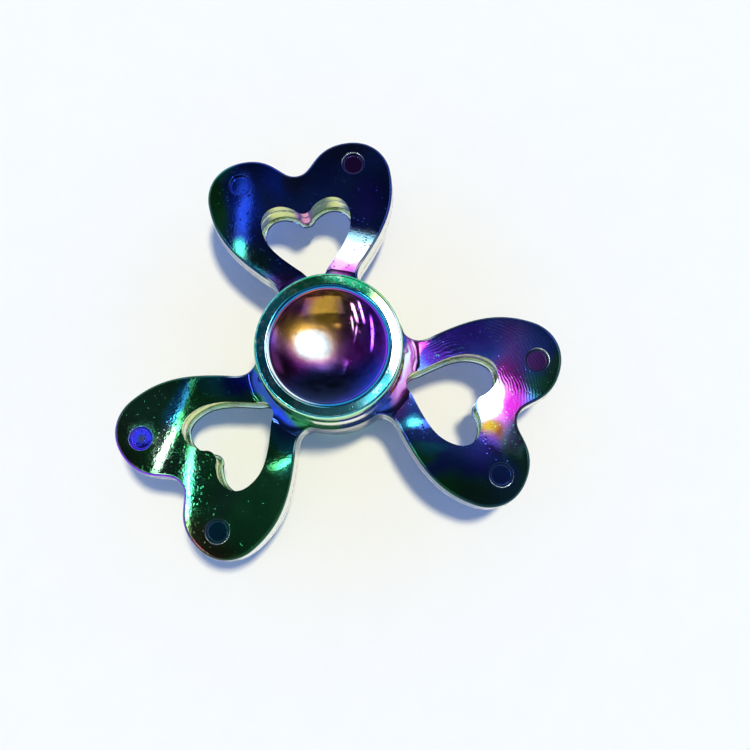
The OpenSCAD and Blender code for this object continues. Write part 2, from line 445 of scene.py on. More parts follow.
def collar_rings(base_z, bore_r):
    """Rings of the collar from the face up its wall, over its rim and into the bore."""
    angles = np.arange(AROUND_HUB) * 360 / AROUND_HUB
    out = polar(1, angles)
    steep = 0.09
    start = base_z + 0.05
    rings = [(polar(COLLAR_BASE_R - 0.002, angles), start, (1, steep))]
    for part in (0.3, 0.6, 1.0):
        r = COLLAR_BASE_R + (COLLAR_TOP_R - COLLAR_BASE_R) * part
        z = start + (COLLAR_Z - COLLAR_EDGE - start) * part
        rings.append((polar(r, angles), z, (1, steep)))
    for a in (22, 45, 67, 90):
        c, s = math.cos(math.radians(a)), math.sin(math.radians(a))
        rings.append((
            polar(COLLAR_TOP_R - COLLAR_EDGE * (1 - c), angles), COLLAR_Z - COLLAR_EDGE * (1 - s), (c, s)
        ))
    for r, drop, normal in (
        (bore_r + 0.14, 0, (0, 1)),
        (bore_r + 0.1, 0.01, (-0.4, 1)),
        (bore_r, 0.1, (-1, 0.2)),
    ):
        rings.append((polar(r, angles), COLLAR_Z - drop, normal))
    return [
        (with_z(points, z), with_z(out * n[0], n[1]))
        for points, z, n in rings
    ]


def spinner_body():
    """The casting: two mirrored halves that meet at the parting line, with the stepped bore between them."""
    loops = body_outlines()
    face = Face(loops)
    rings = [wall_rings(face, points, out) for points, out in loops]
    borders = [ring[-1][0][:, :2] for ring in rings]
    collar_base = ring_points((0, 0), COLLAR_BASE_R, AROUND_HUB)
    build = Builder()
    parting = [build.add(*ring[0]) for ring in rings]
    bore_ends = []
    for side, bore_r in ((1, BEARING_R + 0.01), (-1, LEDGE_R)):
        half = Builder()
        shared = [half.add(*ring[0]) for ring in rings]
        tops = []
        for ring, numbers, is_outer in zip(rings, shared, (True, False, False, False)):
            for places, normals in ring[1:]:
                following = half.add(places, normals)
                if is_outer:
                    half.strip(numbers, following)
                else:
                    half.strip(following, numbers)
                numbers = following
            tops.append(numbers)
        base_z, base_up = face.at(collar_base)
        base = half.add(with_z(collar_base, base_z), base_up + with_z(unit_rows(collar_base), 0.0))
        fill_face(half, face, borders + [collar_base], tops + [base])
        below = base
        for places, normals in collar_rings(base_z, bore_r):
            following = half.add(places, normals)
            half.strip(below, following)
            below = following
        bore_ends.append(join_half(build, half, side, parting, shared, below))
    add_bore(build, *bore_ends)
    return build.mesh("spinner_body_casting")


def unit_rows(points):
    return points / np.hypot(*points.T)[:, None]


def join_half(build, half, side, parting, shared, last):
    """Adds a half to the whole, mirrored if side is -1, sharing the parting line's vertices."""
    renumber = {}
    for whole_ring, half_ring in zip(parting, shared):
        renumber.update(zip(half_ring, whole_ring))
    own = [i for i in range(len(half.places)) if i not in renumber]
    flip = np.array([1, 1, side])
    added = build.add(np.array(half.places)[own] * flip, np.array(half.normals)[own] * flip)
    renumber.update(zip(own, added))
    for corners in half.faces:
        turned_face = [renumber[i] for i in corners]
        build.faces.append(tuple(turned_face if side > 0 else turned_face[::-1]))
    return [renumber[i] for i in last]


def add_bore(build, top, bottom):
    """The bore from the upper rim down to the seat of the bearing, and from there through the ledge."""
    angles = np.arange(AROUND_HUB) * 360 / AROUND_HUB
    out = polar(1, angles)
    seat = -BEARING_Z - 0.01
    above = top
    for r, z, normal in (
        (BEARING_R + 0.01, seat + 0.05, (-1, 0)),
        (BEARING_R - 0.04, seat, (0, 1)),
        (LEDGE_R + 0.04, seat, (0, 1)),
        (LEDGE_R, seat - 0.05, (-1, 0)),
    ):
        following = build.add(with_z(polar(r, angles), z), with_z(out * normal[0], normal[1]))
        build.strip(above, following)
        above = following
    build.strip(above, bottom)


def lathe(name, profile, segments=192):
    """Closed solid of revolution; the profile runs from the axis over the outside and back to the axis."""
    profile = np.asarray(profile, float)
    run = np.diff(profile, axis=0)
    length = np.hypot(*run.T)
    facing = np.stack([-run[:, 1], run[:, 0]], axis=1)
    normals = np.vstack([facing[:1], facing[:-1] + facing[1:], facing[-1:]])
    normals /= np.hypot(*normals.T)[:, None]
    build = Builder()
    angles = np.arange(segments) * 360 / segments
    out = polar(1, angles)
    rings = []
    for (r, z), (nr, nz) in zip(profile, normals):
        if r < 1e-6:
            rings.append(build.add([(0, 0, z)], [(0, 0, math.copysign(1, nz))]))
        else:
            rings.append(build.add(with_z(polar(r, angles), z), with_z(out * nr, nz)))
    for before, after in zip(rings, rings[1:]):
        if len(before) == 1:
            build.fan(after, before[0], up=True)
        elif len(after) == 1:
            build.fan(before, after[0], up=False)
        else:
            build.strip(after, before)
    assert length.min() > 1e-6
    return build.mesh(name)


# ---------------------------------------------------------------- finger caps


def corner(r, z, size, start, end, steps=5):
    """Rounded corner of a profile about a point, from one angle to another in the profile's plane."""
    angles = np.radians(np.linspace(start, end, steps))
    return [(r + size * math.cos(a), z + size * math.sin(a)) for a in angles]


def cap_profile(closed_end):
    """Section of a cap whose rim is at z = 0 and whose boss points down, up to its closed end."""
    dish_r = CAP_R - RIM_W
    sag = DISH_DEPTH - LIP_DROP
    bowl = 0.0119            # curvature of the middle; the dish steepens towards its lip
    steepening = (sag - bowl * dish_r**2) / dish_r**4
    thickness = TOP_Z - COLLAR_Z - CAP_GAP
    boss = TOP_Z - BEARING_Z - 0.01
    dish = [
        (r, -DISH_DEPTH + bowl * r**2 + steepening * r**4)
        for r in np.linspace(0, dish_r - 0.1, 40)
    ]
    lip = [
        (dish_r + LIP_W * (1 - math.cos(a)), -LIP_DROP + LIP_DROP * math.sin(a))
        for a in np.radians(np.linspace(6, 90, 9))
    ]
    rim = [(dish_r + LIP_W + 0.06, 0.0), (CAP_R - 1.0, 0.0), (CAP_R - 0.48, 0.0)]
    edge = corner(CAP_R - 0.42, -0.42, 0.42, 90, 0, 8)
    under = corner(CAP_R - 0.22, 0.22 - thickness, 0.22, 0, -90)
    base = corner(BOSS_R + 0.2, -thickness - 0.2, 0.2, 90, 180)
    foot = corner(BOSS_R - 0.08, 0.08 - boss, 0.08, 0, -90, 3)
    waist = [(SPIGOT_R, -boss), (SPIGOT_R, -boss - 0.05)]
    return dish + lip + rim + edge + under + base + foot + waist + closed_end(boss)


def socket_end(boss):
    """Spigot with a ring-shaped end and the hole for the stud."""
    end = -(boss + BEARING_Z - 0.1)
    hole = STUD_R + 0.05
    floor = STUD_HOLE_TOP - TOP_Z
    return [
        (SPIGOT_R, end + 0.1),
        (SPIGOT_R - 0.1, end),
        (hole + 0.1, end),
        (hole, end + 0.1),
        (hole, floor),
        (0, floor),
    ]


def stud_end(boss):
    """Spigot that ends in the stud, with the crests and roots of its thread."""
    end = -(boss + BEARING_Z - 0.1)
    tip = -TOP_Z - STUD_TIP_Z
    pitch = 0.7
    turns = int((end - tip - 0.5) / pitch)
    thread = []
    for i in range(turns):
        z = end - 0.25 - i * pitch
        thread += [(STUD_R - 0.3, z), (STUD_R, z - 0.3), (STUD_R, z - 0.4)]
    return [
        (SPIGOT_R, end + 0.1),
        (SPIGOT_R - 0.1, end),
        (STUD_R - 0.3, end),
        *thread,
        (STUD_R - 0.3, tip),
        (0, tip),
    ]


def lifted(profile, z, flip):
    """The profile moved to its rim's height, and turned over for the lower cap."""
    if flip:
        return [(r, z - h) for r, h in profile][::-1]
    return [(r, z + h) for r, h in profile]


# ---------------------------------------------------------------- materials: small helpers


class Nodes:
    """Short calls for building a material's nodes."""

    def __init__(self, name):
        self.material = bpy.data.materials.new(name)
        self.material.use_nodes = True
        self.tree = self.material.node_tree
        self.shader = self.tree.nodes["Principled BSDF"]
        self.place = self.add("ShaderNodeTexCoord").outputs["Object"]

    def add(self, kind, **settings):
        node = self.tree.nodes.new(kind)
        for key, value in settings.items():
            setattr(node, key, value)
        return node

    def plug(self, source, socket):
        """Sets a socket to a number or colour, or links it to another node's socket."""
        if isinstance(source, bpy.types.NodeSocket):
            self.tree.links.new(source, socket)
        elif isinstance(source, (tuple, list)) and len(source) == 3 and socket.type == "RGBA":
            socket.default_value = (*source, 1)
        else:
            socket.default_value = source

    def math(self, operation, a, b=0.0):
        node = self.add("ShaderNodeMath", operation=operation)
        for socket, value in zip(node.inputs, (a, b)):
            self.plug(value, socket)
        return node.outputs[0]

    def ramp(self, x, low, high, out_low=0.0, out_high=1.0):
        """A smooth step of x from one value to another."""
        node = self.add("ShaderNodeMapRange", interpolation_type="SMOOTHSTEP", clamp=True)
        for socket, value in zip(node.inputs, (x, low, high, out_low, out_high)):
            self.plug(value, socket)
        return node.outputs["Result"]

    def mix(self, amount, a, b, blend="MIX"):
        node = self.add("ShaderNodeMix", data_type="RGBA", blend_type=blend, clamp_factor=True)
        self.plug(amount, node.inputs["Factor"])
        self.plug(a, node.inputs["A"])
        self.plug(b, node.inputs["B"])
        return node.outputs["Result"]

    def noise(self, scale, detail=2.0, roughness=0.5, place=None):
        """Noise whose features are about 1/scale of a metre."""
        node = self.add("ShaderNodeTexNoise", noise_dimensions="3D")
        self.plug(place or self.place, node.inputs["Vector"])
        node.inputs["Scale"].default_value = scale
        node.inputs["Detail"].default_value = detail
        node.inputs["Roughness"].default_value = roughness
        return node.outputs["Fac"]

    def split(self, vector):
        node = self.add("ShaderNodeSeparateXYZ")
        self.plug(vector, node.inputs[0])
        return node.outputs

    def vector(self, operation, a, b=(0.0, 0.0, 0.0)):
        node = self.add("ShaderNodeVectorMath", operation=operation)
        self.plug(a, node.inputs[0])
        self.plug(b, node.inputs[1])
        return node.outputs["Value" if operation == "LENGTH" else "Vector"]

    def bump(self, height, distance, strength=1.0, normal=None):
        node = self.add("ShaderNodeBump")
        node.inputs["Strength"].default_value = strength
        node.inputs["Distance"].default_value = distance
        self.plug(height, node.inputs["Height"])
        if normal is not None:
            self.plug(normal, node.inputs["Normal"])
        return node.outputs["Normal"]

    def moved(self, place, centre, turn, size):
        """The place as measured from a centre, along turned axes, in units of a size."""
        node = self.add("ShaderNodeMapping", vector_type="TEXTURE")
        self.plug(place, node.inputs["Vector"])
        node.inputs["Location"].default_value = centre
        node.inputs["Rotation"].default_value = (0, 0, math.radians(turn))
        node.inputs["Scale"].default_value = size
        return node.outputs["Vector"]

    def oval(self, centre, size, turn=0.0, soft=0.5, place=None):
        """1 inside a soft-edged oval upright through the part, 0 outside; sizes are in millimetres."""
        moved = self.moved(
            place or self.place, (centre[0] * MM, centre[1] * MM, 0), turn, (size[0] * MM, size[1] * MM, 1e6)
        )
        reach = self.vector("LENGTH", moved)
        return self.ramp(reach, 1.0 + soft, 1.0 - soft)

    def patches(self, colour, rows, place=None):
        """Blends soft ovals of coat colour in, one after another."""
        for paint, centre, size, turn, soft, amount in rows:
            cover = self.math("MULTIPLY", self.oval(centre, size, turn, soft, place), amount)
            colour = self.mix(cover, colour, paint)
        return colour

    def turned_place(self, degrees, place):
        """The place seen from an arm that points that way: x along the arm, y across it."""
        return self.moved(place, (0, 0, 0), degrees, (1, 1, 1))

    def wandering(self, scale, reach):
        """The place, shifted a little by noise so that colours meet along uneven lines."""
        node = self.add("ShaderNodeTexNoise", noise_dimensions="3D")
        self.plug(self.place, node.inputs["Vector"])
        node.inputs["Scale"].default_value = scale
        node.inputs["Detail"].default_value = 3
        shift = self.vector("SUBTRACT", node.outputs["Color"], (0.5, 0.5, 0.5))
        return self.vector("ADD", self.place, self.vector("MULTIPLY", shift, (reach, reach, 0.0)))

    def radius(self, place=None):
        x, y, _ = self.split(place or self.place)
        return self.math("SQRT", self.math("ADD", self.math("MULTIPLY", x, x), self.math("MULTIPLY", y, y)))


def finish_metal(nodes, colour, roughness, normal):
    shader = nodes.shader
    nodes.plug(colour, shader.inputs["Base Color"])
    nodes.plug(roughness, shader.inputs["Roughness"])
    shader.inputs["Metallic"].default_value = 1.0
    nodes.plug(normal, shader.inputs["Normal"])
    return nodes.material


# ---------------------------------------------------------------- colours of the rainbow coat

INK = (0.035, 0.055, 0.15)
NAVY = (0.03, 0.07, 0.34)
ROYAL = (0.02, 0.08, 0.85)
INDIGO = (0.07, 0.06, 0.62)
PLUM = (0.10, 0.035, 0.22)
VIOLET = (0.26, 0.04, 0.75)
MAGENTA = (0.55, 0.04, 0.55)
ROSE = (0.90, 0.35, 0.75)
PEARL = (0.80, 0.92, 0.95)
CYAN = (0.08, 0.62, 0.90)
TEAL = (0.02, 0.30, 0.42)
SEA = (0.06, 0.60, 0.36)
FOREST = (0.035, 0.24, 0.08)
MOSS = (0.035, 0.13, 0.08)
LIME = (0.55, 0.85, 0.30)
GOLD = (0.90, 0.52, 0.08)
ORANGE = (0.80, 0.24, 0.07)
BRONZE = (0.40, 0.10, 0.10)
SILVER = (0.84, 0.88, 0.82)

LEFT_DIMPLE = (DIMPLE_X, DIMPLE_Y), (1.4, 1.4), 0, 0.08
RIGHT_DIMPLE = (DIMPLE_X, -DIMPLE_Y), (1.4, 1.4), 0, 0.08

# colour, centre and half size in millimetres (along and across the arm), turn, softness, strength
TOP_ARM = (
    (FOREST, (26, 13.2), (7.5, 2.6), 0, 0.45, 1),
    (SEA, (30.6, 10.2), (1.7, 1.6), 0, 0.6, 0.7),
    (ROYAL, (24.5, 8.6), (5.0, 2.1), 0, 0.6, 0.9),
    (ROYAL, (27.4, 3.4), (3.0, 1.8), 20, 0.7, 0.7),
    (INK, (27.2, 0.6), (3.0, 1.8), 0, 0.6, 0.9),
    (INK, (30.0, -7.5), (1.8, 4.5), 0, 0.6, 0.8),
    (INDIGO, (21.5, -9.6), (3.0, 1.8), -20, 0.7, 0.8),
    (SEA, (17.2, 10.3), (1.9, 1.1), -20, 0.6, 0.9),
    (MOSS, (15.2, 8.0), (2.6, 2.2), 30, 0.6, 0.8),
    (TEAL, (13.3, 8.6), (2.2, 1.2), 35, 0.6, 0.9),
    (PLUM, (11.6, 4.6), (1.4, 2.0), 0, 0.6, 0.8),
    (NAVY, (16.8, -8.8), (1.4, 1.5), 0, 0.6, 0.9),
    # pale coat under the window's reflection on the right leg: partly painted highlight
    (PEARL, (14.2, -6.6), (2.9, 3.4), 0, 0.35, 1),
    (CYAN, (16.0, -7.6), (1.0, 2.6), -20, 0.5, 0.55),
    (ROSE, (12.2, -3.6), (1.6, 1.6), 40, 0.6, 0.8),
    (MAGENTA, (11.2, -4.4), (0.7, 3.0), 20, 0.6, 0.7),
)
LEFT_ARM = (
    (MOSS, (25.0, -11.0), (6.5, 3.6), 0, 0.5, 0.9),
    (PLUM, (31.2, -8.5), (1.0, 5.0), 0, 0.6, 0.9),
    (VIOLET, (31.6, -7.0), (0.7, 3.0), 0, 0.5, 0.8),
    (TEAL, (20.2, -9.2), (3.6, 1.1), 29, 0.5, 0.6),
    ((0.02, 0.20, 0.42), (20.2, -9.0), (3.4, 0.9), 29, 0.5, 0.9),
    (SILVER, (26.4, -4.6), (3.6, 1.2), 40, 0.6, 0.35),
    (MOSS, (26.0, -1.5), (3.5, 3.0), 0, 0.6, 0.7),
    (SEA, (26.5, 1.2), (3.2, 1.3), 50, 0.6, 0.35),
    (MOSS, (24.5, 5.5), (3.2, 2.4), 30, 0.6, 0.8),
    (FOREST, (19.5, 10.8), (5.0, 3.0), -20, 0.6, 1),
    (SEA, (14.9, 8.4), (1.5, 1.2), 0, 0.6, 0.7),
    ((0.07, 0.035, 0.025), (29.8, 8.8), (2.4, 5.2), 10, 0.6, 0.75),
    ((0.04, 0.07, 0.035), (29.6, -9.5), (2.6, 5.0), -10, 0.6, 0.7),
    (BRONZE, (30.8, 9.5), (0.9, 3.8), 20, 0.6, 0.55),
    (TEAL, (14.5, -8.0), (2.0, 2.0), 0, 0.7, 0.7),
    ((0.01, 0.03, 0.25), (12.2, -5.6), (2.4, 2.4), 0, 0.6, 1),
    ((0.01, 0.02, 0.60), (10.9, -4.8), (1.0, 2.2), 0, 0.6, 1),
    (TEAL, (12.9, 4.4), (1.2, 3.0), 0, 0.6, 0.9),
    (NAVY, (11.6, 2.4), (1.3, 3.0), 0, 0.6, 0.95),
    (NAVY, (10.6, 0.0), (0.8, 8.0), 0, 0.5, 0.9),
    (ROYAL, (11.2, 2.0), (0.6, 2.2), 20, 0.6, 0.8),
)
RIGHT_ARM = (
    (PLUM, (24.0, 10.2), (3.4, 2.2), -20, 0.6, 0.8),
    ((0.02, 0.012, 0.17), (16.2, 8.8), (5.6, 3.4), 10, 0.6, 1),
    ((0.012, 0.004, 0.06), (14.0, 4.7), (3.4, 2.2), 10, 0.6, 1),
    (NAVY, (27.6, 11.0), (3.4, 2.4), 0, 0.6, 0.8),
    (MOSS, (30.6, 7.8), (1.6, 4.5), 0, 0.6, 0.95),
    (FOREST, (29.2, 5.0), (2.0, 1.5), 0, 0.6, 0.6),
    ((0.20, 0.012, 0.19), (24.6, 4.0), (2.2, 3.4), 18, 0.6, 0.9),
    ((0.45, 0.16, 0.42), (24.4, 0.6), (1.5, 3.0), 8, 0.8, 0.7),
    ((0.11, 0.006, 0.11), (26.2, 0.8), (1.9, 3.4), 10, 0.6, 1),
    # pale coat under the window's reflection in the band: partly painted highlight
    (PEARL, (22.8, 1.0), (1.3, 2.8), 8, 0.5, 1),
    ((0.045, 0.014, 0.004), (24.6, -3.2), (2.0, 1.7), 0, 0.5, 1),
    ((0.11, 0.075, 0.006), (23.9, -2.5), (1.0, 0.8), 0, 0.7, 0.9),
    ((0.03, 0.01, 0.015), (26.4, -4.6), (1.8, 1.5), 0, 0.6, 0.9),
    (MOSS, (29.4, -6.5), (2.6, 6.0), 0, 0.6, 0.9),
    ((0.008, 0.010, 0.020), (27.8, -2.9), (1.6, 3.0), 0, 0.6, 1),
    (INDIGO, (24.4, -6.6), (1.9, 2.4), 0, 0.7, 0.6),
    (NAVY, (27.3, -8.4), (2.2, 2.2), 0, 0.5, 0.9),
    (FOREST, (20.5, -12.6), (5.0, 1.8), 18, 0.6, 1),
    (MOSS, (25.5, -12.2), (3.0, 2.0), 0, 0.6, 0.9),
    (FOREST, (15.6, -9.6), (2.6, 1.5), 20, 0.6, 0.95),
    (TEAL, (17.2, -7.9), (2.2, 0.8), 20, 0.6, 0.6),
    (CYAN, (13.6, -5.6), (1.4, 0.9), 25, 0.6, 0.8),
    (PLUM, (11.6, -3.2), (1.0, 2.0), 0, 0.6, 0.8),
    (MAGENTA, (10.9, 4.8), (1.0, 2.2), -15, 0.6, 0.8),
    # rose and pearl at the root, under its big highlight: partly painted highlight
    (ROSE, (10.8, 0.6), (1.3, 3.6), 0, 0.5, 0.9),
    (PEARL, (10.4, 1.8), (0.7, 3.0), 0, 0.6, 0.9),
    (MAGENTA, (10.6, 3.9), (2.2, 0.22), -64, 0.6, 0.9),
    (MAGENTA, (10.5, -0.9), (1.8, 0.20), 88, 0.6, 0.9),
    (MAGENTA, (11.6, -1.9), (1.4, 0.16), 70, 0.6, 0.8),
)
PAINTED_ARC_SIZE = (1.64, 1.64)
# the same for the dimples: a painted highlight crescent on the far side of some of them, a painted shade
# crescent opposite it, and painted shade in the middle of one
TOP_DIMPLES = (
    (ROYAL, *LEFT_DIMPLE, 0.9),
    (PEARL, (DIMPLE_X + 0.15, -DIMPLE_Y), PAINTED_ARC_SIZE, 0, 0.03, 1),
    (INK, (DIMPLE_X - 0.10, -DIMPLE_Y), PAINTED_ARC_SIZE, 0, 0.05, 1),
    (PLUM, *RIGHT_DIMPLE, 1),
)
LEFT_DIMPLES = (
    (CYAN, (DIMPLE_X, -DIMPLE_Y), (1.72, 1.72), 0, 0.05, 0.6),
    ((0.03, 0.04, 0.80), *RIGHT_DIMPLE, 1),
    (INK, (DIMPLE_X, -DIMPLE_Y), (0.6, 0.6), 0, 0.8, 1),
    (PEARL, (DIMPLE_X + 0.08, DIMPLE_Y + 0.12), PAINTED_ARC_SIZE, 0, 0.03, 0.9),
    (INK, (DIMPLE_X - 0.06, DIMPLE_Y - 0.08), PAINTED_ARC_SIZE, 0, 0.05, 1),
    ((0.01, 0.10, 0.16), *LEFT_DIMPLE, 1),
)
RIGHT_DIMPLES = (
    (PEARL, (DIMPLE_X + 0.08, DIMPLE_Y + 0.15), PAINTED_ARC_SIZE, 0, 0.03, 1),
    (INK, (DIMPLE_X - 0.05, DIMPLE_Y - 0.10), PAINTED_ARC_SIZE, 0, 0.05, 1),
    (PLUM, *LEFT_DIMPLE, 1),
    (PEARL, (DIMPLE_X + 0.05, -DIMPLE_Y - 0.15), PAINTED_ARC_SIZE, 0, 0.03, 1),
    (INK, (DIMPLE_X - 0.04, -DIMPLE_Y + 0.10), PAINTED_ARC_SIZE, 0, 0.05, 1),
    (NAVY, *RIGHT_DIMPLE, 1),
)
LEFT_EDGE = (
    (VIOLET, (30.5, -3.5), (4.5, 9.5), 0, 0.4, 1),
)
# base colour, patches, dimples, and the outer edges' painted shade with coat patches over it
ARM_COATS = (
    (NAVY, TOP_ARM, TOP_DIMPLES, (0.015, 0.03, 0.10), ()),
    (FOREST, LEFT_ARM, LEFT_DIMPLES, (0.03, 0.07, 0.05), LEFT_EDGE),
    (NAVY, RIGHT_ARM, RIGHT_DIMPLES, (0.02, 0.05, 0.06), ()),
)
TOP = 0                      # the arm with a rose blush in its opening
THIRD_SLOPE = 0.577          # slope of the lines between the thirds of the casting
RIGHT = 2                    # the arm with polishing lines
CAP_RIM = (
    (TEAL, (-8.8, -0.5), (3.0, 7.0), 0, 0.6, 0.95),
    (CYAN, (-6.2, 6.8), (2.6, 1.8), 45, 0.6, 0.5),
    ((0.03, 0.50, 0.24), (2.5, 8.6), (7.5, 2.6), -12, 0.6, 1),
    ((0.16, 0.75, 0.85), (-1.0, -9.0), (6.5, 2.8), 0, 0.5, 1),
    (LIME, (8.0, 4.8), (1.6, 2.0), 0, 0.6, 0.7),
    # pale coat under the window's reflection on the right of the rim: partly painted highlight
    (PEARL, (9.2, -1.6), (2.0, 5.2), -5, 0.45, 1),
    (CYAN, (5.8, -7.4), (2.6, 1.8), 35, 0.5, 0.8),
)
DISH = (
    (BRONZE, (-4.6, 4.6), (3.0, 3.0), 0, 0.6, 0.9),
    (ORANGE, (0.8, 7.0), (4.2, 1.3), -12, 0.6, 0.9),
    (GOLD, (1.8, 4.6), (3.5, 2.5), -12, 0.25, 1),
    (MAGENTA, (-4.8, -0.6), (2.6, 2.4), 0, 0.7, 0.8),
    ((0.04, 0.010, 0.05), (-7.0, -1.5), (1.7, 4.0), 10, 0.5, 1),
    # gold and rose, partly coat colour and partly painted highlight: a warm halo round the window's reflection
    # in the dish
    (GOLD, (-2.6, 2.4), (3.2, 1.8), -25, 0.7, 0.9),
    (ROSE, (-1.6, -0.2), (3.0, 2.0), -25, 0.7, 0.7),
    (BRONZE, (2.4, 2.0), (2.0, 1.6), 0, 0.6, 0.6),
    (MAGENTA, (3.2, -1.6), (2.2, 2.6), 0, 0.7, 0.6),
    (VIOLET, (5.6, 2.4), (2.4, 3.6), 20, 0.6, 0.8),
    ((0.16, 0.08, 0.10), (3.6, 3.2), (1.4, 3.0), 15, 0.6, 0.8),
    # painted highlight: gold round a pale spot laid where the window's reflection sits, so it shows white with
    # a warm halo
    (GOLD, (-2.0, 1.6), (4.0, 2.8), -25, 0.5, 0.6),
    (PEARL, (-2.1, 0.7), (2.5, 1.9), -25, 0.35, 1),
    (VIOLET, (6.6, -2.2), (1.6, 3.2), -25, 0.6, 0.9),
    (ROYAL, (4.4, -4.8), (3.0, 2.0), 35, 0.6, 0.8),
    (INK, (-2.2, -5.6), (5.4, 2.8), 0, 0.6, 1),
)


# ---------------------------------------------------------------- materials


def coat_surface(nodes, peel, lines=None):
    """Bump of the coat: orange peel over the die casting's soft waves, fine pits and polishing lines."""
    waves = nodes.bump(nodes.noise(300, 1), 4e-7, 1.0)
    fine = nodes.math("MULTIPLY", nodes.noise(3000, 2, 0.5), peel)
    grain = nodes.bump(fine, 0.95e-6, 1.0, waves)
    pits = nodes.add("ShaderNodeTexVoronoi", feature="F1")
    nodes.plug(nodes.place, pits.inputs["Vector"])
    pits.inputs["Scale"].default_value = 1900
    depth = nodes.ramp(pits.outputs["Distance"], 0.0, 0.34, -1.0, 0.0)
    here = nodes.math("MULTIPLY", nodes.ramp(nodes.noise(1100, 2), 0.50, 0.66), peel)
    pitted = nodes.bump(nodes.math("MULTIPLY", depth, here), 5e-6, 1.0, grain)
    if lines is None:
        return pitted
    return nodes.bump(lines, 0.42e-6, 1.0, pitted)


def ring_lines(nodes, centre, spacing, place, mask):
    """Heights of polishing lines round a centre, where the mask shows them."""
    moved = nodes.vector("SUBTRACT", place, (centre[0] * MM, centre[1] * MM, 0.0))
    uneven = nodes.math("MULTIPLY", nodes.noise(260, 2), 0.9 * MM)
    reach = nodes.math("ADD", nodes.radius(moved), uneven)
    phase = nodes.math("MULTIPLY", reach, 2 * math.pi / (spacing * MM))
    return nodes.math("MULTIPLY", nodes.math("SINE", phase), mask)


def rainbow_body(number):
    """Rainbow vapour coat on one arm's third of the casting: dark on the faces, pale on the walls between,
    with painted highlight and shade on the edges, the dimples and the hub's wall.
    """
    nodes = Nodes(f"rainbow_body_{number + 1}")
    base, rows, dimples, outer_edge_shade, edge_rows = ARM_COATS[number]
    _, _, up = nodes.split(nodes.add("ShaderNodeTexCoord").outputs["Normal"])
    upright = nodes.math("ABSOLUTE", up)
    drift = nodes.wandering(190, 2.6 * MM)
    arm = nodes.turned_place(ARM_ANGLES[number], drift)
    straight = nodes.turned_place(ARM_ANGLES[number], nodes.place)
    colour = nodes.patches(base, rows, arm)
    # the three thirds meet in one colour at the hub
    along, across, _ = nodes.split(straight)
    sideways = nodes.math("MULTIPLY", nodes.math("ABSOLUTE", across), THIRD_SLOPE)
    lean = nodes.math("SUBTRACT", along, sideways)
    colour = nodes.mix(nodes.ramp(lean, 0.0, 1.3 * MM), NAVY, colour)
    # cloudy thickness of the coat
    cloud = nodes.ramp(nodes.noise(330, 4, 0.6), 0.3, 0.75, 0.0, 0.55)
    colour = nodes.mix(cloud, colour, nodes.mix(1.0, colour, (0.55, 0.6, 0.75), "MULTIPLY"))
    colour = nodes.mix(nodes.ramp(nodes.noise(2400, 2), 0.62, 0.72, 0.0, 0.15), colour, SEA)
    colour = nodes.patches(colour, dimples, straight)

    # painted highlight on the rounded edges of the openings, painted shade on the outer edges
    inner = nodes.oval((17.2, 0), (7.9, 8.3), 0, 0.03, straight)
    _, _, height = nodes.split(nodes.place)
    level = nodes.math("ABSOLUTE", height)
    at_arm = nodes.ramp(level, (ARM_Z + 0.06) * MM, ARM_Z * MM)
    edge = nodes.math("MULTIPLY", nodes.ramp(upright, 0.985, 0.90), at_arm)
    # painted highlight: pale cyan, lime and pearl laid on the openings' rounded edges, which brightens their
    # reflected rim lines
    opening_edge_highlight = nodes.mix(nodes.ramp(nodes.noise(230, 1), 0.35, 0.65), CYAN, LIME)
    opening_edge_highlight = nodes.mix(0.7, opening_edge_highlight, PEARL)
    # painted shade: the outer rounded edges are darkened, so they stay dark where they would catch light
    shade = nodes.mix(0.8, colour, nodes.patches(outer_edge_shade, edge_rows, straight))
    colour = nodes.mix(edge, colour, nodes.mix(inner, shade, opening_edge_highlight))

    # walls: thin pale coat, lime away from the parting line inside the openings
    above = nodes.ramp(level, 0.10 * MM, 0.22 * MM)
    tint = nodes.mix(nodes.math("MULTIPLY", above, inner), SILVER, (0.68, 0.78, 0.30))
    blush = nodes.ramp(nodes.noise(150, 1), 0.52, 0.68, 0.0, 0.55)
    tint = nodes.mix(blush, tint, (0.85, 0.55, 0.70))
    if number == TOP:
        at_notch = nodes.oval((22.2, 0.3), (1.0, 1.3), 0, 0.5, straight)
        tint = nodes.mix(at_notch, tint, (0.80, 0.28, 0.62))
    tint = nodes.mix(nodes.ramp(nodes.noise(1600, 3, 0.7), 0.56, 0.70, 0.0, 0.5), tint, (0.30, 0.36, 0.24))
    seam = nodes.ramp(level, 0.16 * MM, 0.05 * MM)
    seam = nodes.math("MULTIPLY", seam, nodes.ramp(nodes.noise(1300, 2), 0.40, 0.60))
    tint = nodes.mix(seam, tint, (0.16, 0.15, 0.16))
    # painted shade: the hub's wall between the arms, under the cap, is darkened to a dim lavender
    hub = nodes.radius()
    hub = nodes.math("MULTIPLY", nodes.ramp(hub, 10.32 * MM, 10.4 * MM), nodes.ramp(hub, 11.4 * MM, 11.0 * MM))
    tint = nodes.mix(hub, tint, (0.12, 0.14, 0.22))
    wall = nodes.ramp(upright, 0.50, 0.22)
    colour = nodes.mix(wall, colour, tint)

    rough = nodes.ramp(nodes.noise(700, 3), 0.3, 0.7, 0.015, 0.035)
    rough = nodes.math("ADD", rough, nodes.math("MULTIPLY", wall, 0.10))
    if number != RIGHT:
        return finish_metal(nodes, colour, rough, coat_surface(nodes, 1.0))
    rings = nodes.oval((20.0, 5.0), (8.5, 8.0), 0, 0.5, arm)
    lines = ring_lines(nodes, (19.5, 0.5), 0.44, arm, rings)
    return finish_metal(nodes, colour, rough, coat_surface(nodes, 0.45, lines))


